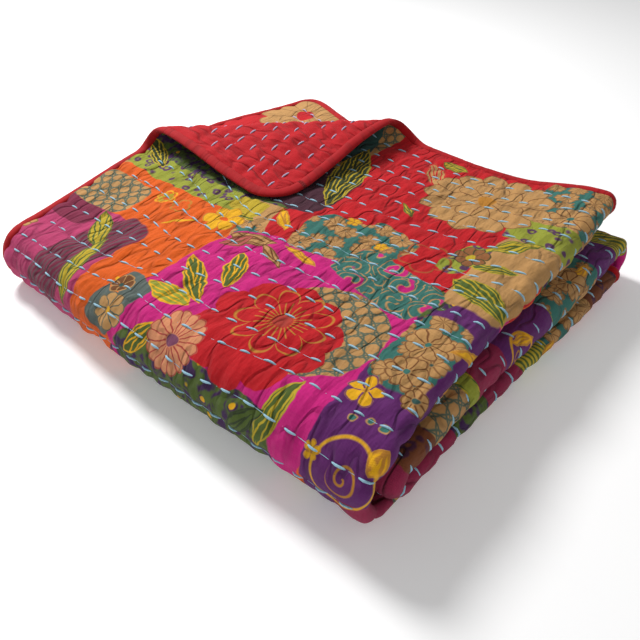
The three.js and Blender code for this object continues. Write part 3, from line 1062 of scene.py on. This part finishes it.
# %% Print: leaves
LEAVES = (
    ((-10, 319), 70, 19, -0.68, GREEN, YELLOW), ((8, 293), 50, 19, -1.1, GREEN, YELLOW),
    ((-10, 344), 50, 22, -0.1, LIME, YELLOW), ((-3, 386), 38, 17, 0.95, GREEN, YELLOW),
    ((-14, 212), 40, 11, -0.8, YELLOW, GOLD), ((36, 248), 42, 9, -0.2, YELLOW, GOLD),
    ((180, 214), 62, 26, -0.35, GREEN, OLIVE), ((172, 175), 38, 16, 0.15, GREEN, OLIVE),
    # The dark green leaf at (-22, 108) lies in the same hollow under the turned-back corner. It is a green
    # and olive leaf of the print, made darker there as painted shade.
    ((168, 139), 54, 17, 0.75, OLIVE, GREEN), ((-22, 108), 130, 34, -1.25, DARK_GREEN, OLIVE),
    ((-140, 316), 60, 20, -0.75, OLIVE, GREEN), ((-112, 362), 84, 17, -1.35, OLIVE, GREEN),
    ((-12, 252), 46, 16, 0.25, TAN, DARK_TAN), ((18, 262), 44, 9, -0.5, TAN, DARK_TAN),
    ((-22, 262), 30, 15, 0.9, colour(188, 92, 84), DARK_TAN), ((127, 382), 54, 16, 1.35, GREEN, OLIVE),
    ((106, 398), 44, 14, 0.8, GREEN, DARK_GREEN), ((62, 128), 30, 8, -0.7, OLIVE, GREEN),
    ((42, 46), 56, 20, -1.0, TAN, RED), ((48, 16), 30, 18, 0, OLIVE, GREEN),
    ((212, 264), 50, 11, 0.75, YELLOW, GOLD), ((212, 294), 26, 9, 1.2, YELLOW, GOLD),
    ((-55, 358), 24, 13, -0.6, YELLOW, ORANGE), ((-90, 268), 34, 3, 0.7, GOLD, YELLOW),
    ((-208, 200), 60, 18, -0.5, DARK_GREEN, OLIVE), ((202, 374), 16, 8, 1.5, YELLOW, GOLD),
    ((221, 374), 22, 9, 1.4, YELLOW, GOLD), ((215, 1052), 26, 9, 1.2, YELLOW, GOLD),
    ((216, 940), 26, 9, 1.5, YELLOW, GOLD), ((226, 1418), 30, 9, -1.2, YELLOW, GOLD),
)

# %% Print: flowers
FLOWER_TURN = 0.4
DAISY = (9, 0.2, 0.14, TAN, DARK_TAN, TEAL)
BERRY = (TAN, TAN, TEAL)
BUD = (5, 0.4, 0.2, YELLOW, GOLD, GOLD)

FLOWERS = (
    # The top.
    ((-58, 243), 19, 6, 0.4, 0.2, YELLOW, GOLD, ORANGE),
    ((110, 68), 62, 13, 0.16, 0.1, TAN, DARK_TAN, DARK_TAN),
    ((110, 66), 38, 11, 0.2, 0.22, TAN, DARK_TAN, GOLD),
    ((107, 310), 49, 1, 0.0, 0, "lattice", "lattice", "lattice"),
    ((79, 332), 54, 10, 0.14, 0, RED, RED, RED),
    ((29, 375), 25, 17, 0.14, 0.19, PINK_TAN, colour(176, 52, 52), colour(126, 66, 96)),
    ((-43, 380), 16, 8, 0.2, 0.15, TAN, DARK_TEAL, YELLOW),
    ((-52, 356), 10, 6, 0.2, 0.2, DARK_TAN, TAN, DARK_TEAL),
    ((147, 166), 15, 7, 0.25, 0.25, colour(146, 92, 50), DARK_GREEN, OLIVE),
    ((-210, 348), 10, 6, 0.3, 0.2, TAN, DARK_TAN, PLUM), ((178, 283), 17, *DAISY),
    ((180, 313), 15, *DAISY), ((197, 330), 9, 8, 0.2, 0.2, TAN, DARK_TAN, DARK_TEAL),
    ((188, 66), 19, *DAISY), ((38, 177), 7, *BUD), ((80, 195), 7, *BUD),
    ((168, 341), 13, 5, 0.55, 0.1, YELLOW, PURPLE, GOLD), ((222, 312), 14, *DAISY),
    ((-133, 248), 9, 6, 0.3, 0.3, OLIVE, ORANGE, ORANGE), ((175, 361), 2.9, 1, 0, 0.68, *BERRY),
    ((184.5, 357), 2.6, 1, 0, 0.68, *BERRY), ((194.5, 358), 3.2, 1, 0, 0.7, *BERRY),
    ((163, 386), 6, 5, 0.5, 0.2, YELLOW, GOLD, GOLD),
    # The bands at the side.
    ((214, 962), 17, *DAISY), ((214, 1502), 17, *DAISY),
)

# %% Print: gold outlines, rays and vines
OUTLINES = (
    ((82, 320), 36, 9, 0.42, GOLD), ((-133, 248), 11, 6, 0.3, YELLOW), ((-108, 250), 10, 6, 0.3, GOLD),
    ((118, 188), 22, 5, 0.3, colour(176, 84, 40)), ((186, 391), 21, 1, 0, YELLOW),
    ((228, 388), 19, 1, 0, YELLOW), ((222, 1058), 14, 1, 0, YELLOW),
)
RAYS = ((82, 320), 23, 22)
VINES = (((188, 391), 11, 0.4), ((228, 388), 10, 2), ((222, 1064), 9, 0))


# %% Print: all of it on one side of the cloth
def filled_motifs():
    """Group, middle, reach, paints and sizes of each motif, in the order that they lie on each other."""
    for middle, half, turn, fill in PATCHES:
        sizes = {"Half": (*half, 1), "Axis": axis(turn)}
        yield patch_tree, middle, math.hypot(*half), {"Mask": fill}, sizes
    for middle, length, width, turn, fill, stripe in LEAVES:
        sizes = {"Length": length, "Width": width, "Axis": axis(turn)}
        yield leaf_tree, middle, length / 2, {"Mask": fill, "Stripes": stripe}, sizes
    for middle, radius, petals, depth, heart, fill, line, heart_fill in FLOWERS:
        paints = {"Petals": fill, "Lines": line, "Heart": heart_fill}
        if line == fill:
            del paints["Lines"]
        if not heart:
            del paints["Heart"]
        sizes = {"Radius": radius, "Petals": petals, "Depth": depth, "Heart": heart, "Turn": FLOWER_TURN}
        yield flower_tree, middle, radius, paints, sizes


def lies_in(region, middle, reach):
    """Whether a motif's circle reaches into a region of the cloth, with a little to spare."""
    return all(low - reach - SPARE < at < high + reach + SPARE for at, (low, high) in zip(middle, region))


def drawn_lines(place, region, printed):
    """Outlines, rays and vines, drawn over the other motifs."""
    for middle, radius, petals, depth, line in OUTLINES:
        if lies_in(region, middle, radius):
            sizes = {"Radius": radius, "Petals": petals, "Depth": depth, "Heart": 0}
            drawn = placed(flower_tree, Place=place, Middle=(*middle, 0), **sizes)
            printed = mixed(times(drawn["Rim"], 0.9), printed, line)
    middle, radius, petals = RAYS
    if lies_in(region, middle, radius):
        sizes = {"Radius": radius, "Petals": petals, "Depth": 0.1, "Heart": 0.3}
        drawn = placed(flower_tree, Place=place, Middle=(*middle, 0), **sizes)
        printed = mixed(minus(drawn["Lines"], drawn["Rim"], clamp=True), printed, GOLD)
        printed = mixed(times(drawn["Heart"], 0.75), printed, colour(176, 66, 48))
    for middle, reach, turn in VINES:
        if lies_in(region, middle, reach):
            vine = placed(vine_tree, Place=place, Middle=(*middle, 0), Reach=reach, Turn=turn)
            printed = mixed(vine["Mask"], printed, GOLD)
    return printed


def print_finish(name, region):
    """The printed cotton of one region of the cloth."""
    material, tree, shader = new_finish(name)
    plain_place = cloth_place(tree)
    place = shaken_place(plain_place, 0.09, 5)
    fields = printed_fields(place)
    printed = patchwork(place, fields)
    motif_place = shaken_place(place, 0.2, 1.3)
    for group_tree, middle, reach, paints, sizes in filled_motifs():
        if lies_in(region, middle, reach):
            motif = placed(group_tree, Place=motif_place, Middle=(*middle, 0), **sizes)
            for output, fill in paints.items():
                printed = mixed(motif[output], printed, fields.get(fill, fill))
    printed = drawn_lines(shaken_place(plain_place, 0.03, 4), region, printed)
    finish_cotton(shader, plain_place, printed, 1, 0.0068, 0.03)
    return material


# %% [markdown]
# ### Cotton
# Under the print every face of the blanket is the same cloth: a plain weave, a little crumpled between
# the stitches, with a thread here and there that took the dye less. One group gives the colour of that
# cloth, its uneven dye with painted shade along the creases, and its height, and each finish uses it
# with its own strength.

# %% Cotton group
THREAD_PITCH = 0.9
THREAD_TURN = 2 * math.pi / THREAD_PITCH
cotton_tree, given, out = new_group("crumpled_cotton", ["Place"], {"Crumple": 1}, ("Shade", "Height"))
weave_x, weave_y = parts_of(given["Place"])
weave = times(sine(times(weave_x, THREAD_TURN)), sine(times(weave_y, THREAD_TURN)))
stretched = vectors("MULTIPLY", given["Place"], (1, 0.36, 1))
crumple = noise_field(stretched, 0.1, 3, rough=0.45)
fold_noise = noise_field(vectors("ADD", stretched, (70, 0, 0)), 0.043, 2)
smooth_part = times(absolute(minus(fold_noise, 0.5)), 22, clamp=True)
slub = noise_field(vectors("MULTIPLY", given["Place"], (0.12, 1.1, 1)), 0.6, 2)
blotch = noise_field(given["Place"], 0.035, 2)
cloth_height = times_plus(smooth_part, 0.28, crumple)
feed(out["Height"], times_plus(cloth_height, given["Crumple"], times(weave, 0.02)))
shade = times_plus(slub, 0.22, times(blotch, 0.3))
# Painted shade: the colour is made up to 20 per cent darker along the thin crease lines, where fold_noise
# crosses its middle.
painted_crease_shade = times_plus(smooth_part, 0.2, 0.8)
feed(out["Shade"], times(plus(shade, 0.74), painted_crease_shade))


def add_bump(shader, height, depth):
    bump = shader.id_data.nodes.new("ShaderNodeBump")
    feed(shader.inputs["Normal"], set_up(bump, {"Height": height, "Distance": depth})[0])


def finish_cotton(shader, place, painted, crumple, depth, sheen):
    """Shade, height, roughness and sheen of a cotton finish."""
    cloth = placed(cotton_tree, Place=place, Crumple=crumple)
    shade = shader.id_data.nodes.new("ShaderNodeCombineColor")
    for socket in shade.inputs:
        feed(socket, cloth["Shade"])
    shaded = mixed(1, painted, shade.outputs[0], "MULTIPLY")
    add_bump(shader, cloth["Height"], depth)
    set_up(shader, {
        "Base Color": shaded, "Roughness": 0.82, "Specular IOR Level": 0.28,
        "Sheen Weight": sheen, "Sheen Roughness": 0.5,
    })


prints = [print_finish(name, region) for name, region in REGIONS.items()]
print("nodes in each print:", [len(material.node_tree.nodes) for material in prints])

# %% The plain red side
reverse, tree, shader = new_finish("plain_side")
place = cloth_place(tree)
bloom = placed(flower_tree, Place=place, Middle=(590, 34, 0), Radius=60, Petals=12, Depth=0.2, Heart=0.2)
body = mixed(times(bloom["Lines"], 0.7), TAN, DARK_TAN)
body = mixed(bloom["Heart"], body, RED)
finish_cotton(shader, place, mixed(bloom["Petals"], REVERSE_RED, body), 0.9, 0.006, 0.04)
for material in prints:
    sheet.data.materials.append(material)
    sheet.data.materials.append(reverse)

# %% The binding's finish
binding, tree, shader = new_finish("binding_cotton")
finish_cotton(shader, cloth_place(tree, 20), BINDING_RED, 0.6, 0.0018, 0.04)
bead.data.materials.append(binding)


# %% The thread's finish
def thread_finish(name, shade, dark):
    material, tree, shader = new_finish(name)
    where = tree.nodes.new("ShaderNodeTexCoord").outputs["Object"]
    ply = noise_field(vectors("MULTIPLY", where, (900, 900, 900)), 1, 2)
    set_up(shader, {"Base Color": mixed(ply, dark, shade), "Roughness": 0.6})
    add_bump(shader, ply, 0.0004)
    return material


pale_thread = thread_finish("thread_on_print", colour(178, 216, 232), colour(110, 164, 190))
stitches.data.materials.append(pale_thread)
mauve_thread = thread_finish("thread_on_red", colour(206, 200, 224), colour(150, 130, 170))
plain_stitches.data.materials.append(mauve_thread)
print("finishes:", [material.name for material in bpy.data.materials])

# %% [markdown]
# ## Floor and light

# %% Floor
floor_net = bmesh.new()
bmesh.ops.create_grid(floor_net, x_segments=1, y_segments=1, size=4)
floor = object_from_net("floor", floor_net)
floor_paint, tree, floor_shader = new_finish("floor")
set_up(floor_shader, {
    "Base Color": (0.95, 0.95, 0.95, 1), "Roughness": 0.7,
    "Emission Color": (1, 1, 1, 1), "Emission Strength": 0.16,
})
floor.data.materials.append(floor_paint)


# %% Lights
LIGHT_TARGET = Vector((0, 0, 0.03))


def soft_light(name, place, size, power):
    light = bpy.data.lights.new(name, "AREA")
    light.shape = "DISK"
    light.size = size
    light.energy = power
    aim = (LIGHT_TARGET - Vector(place)).to_track_quat("-Z", "Y").to_matrix().to_4x4()
    add_object(name, light).matrix_world = Matrix.Translation(place) @ aim


soft_light("key_light", (-0.95, 0.15, 1.15), 0.45, 23)
soft_light("fill_light", (1.2, -1.1, 0.9), 1.2, 3)
world = bpy.data.worlds.new("studio")
world.use_nodes = True
set_up(world.node_tree.nodes["Background"], {"Color": (1, 1, 1, 1), "Strength": 0.33})
bpy.context.scene.world = world
bpy.context.scene.view_settings.view_transform = "Standard"
print("lights and world are set")

# %% [markdown]
# ## Into the frame
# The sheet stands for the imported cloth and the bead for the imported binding. Everything rides on the one
# body that the blanket has.

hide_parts("quilt_cloth")
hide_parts("edge_binding")
for piece, slot_name in (
    (sheet, "printed_cotton"), (bead, "red_binding"),
    (stitches, "printed_cotton"), (plain_stitches, "printed_cotton"),
):
    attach(piece, "root")

middle_along = STARTS[4] + LENGTHS[4] / 2
flat_width = (place_on_blanket(2, middle_along)[1] - place_on_blanket(-2, middle_along)[1]) / 1000
print("flat cloth in metres:", round(flat_width, 3), "by", round(TOTAL_LENGTH / 1000, 3))
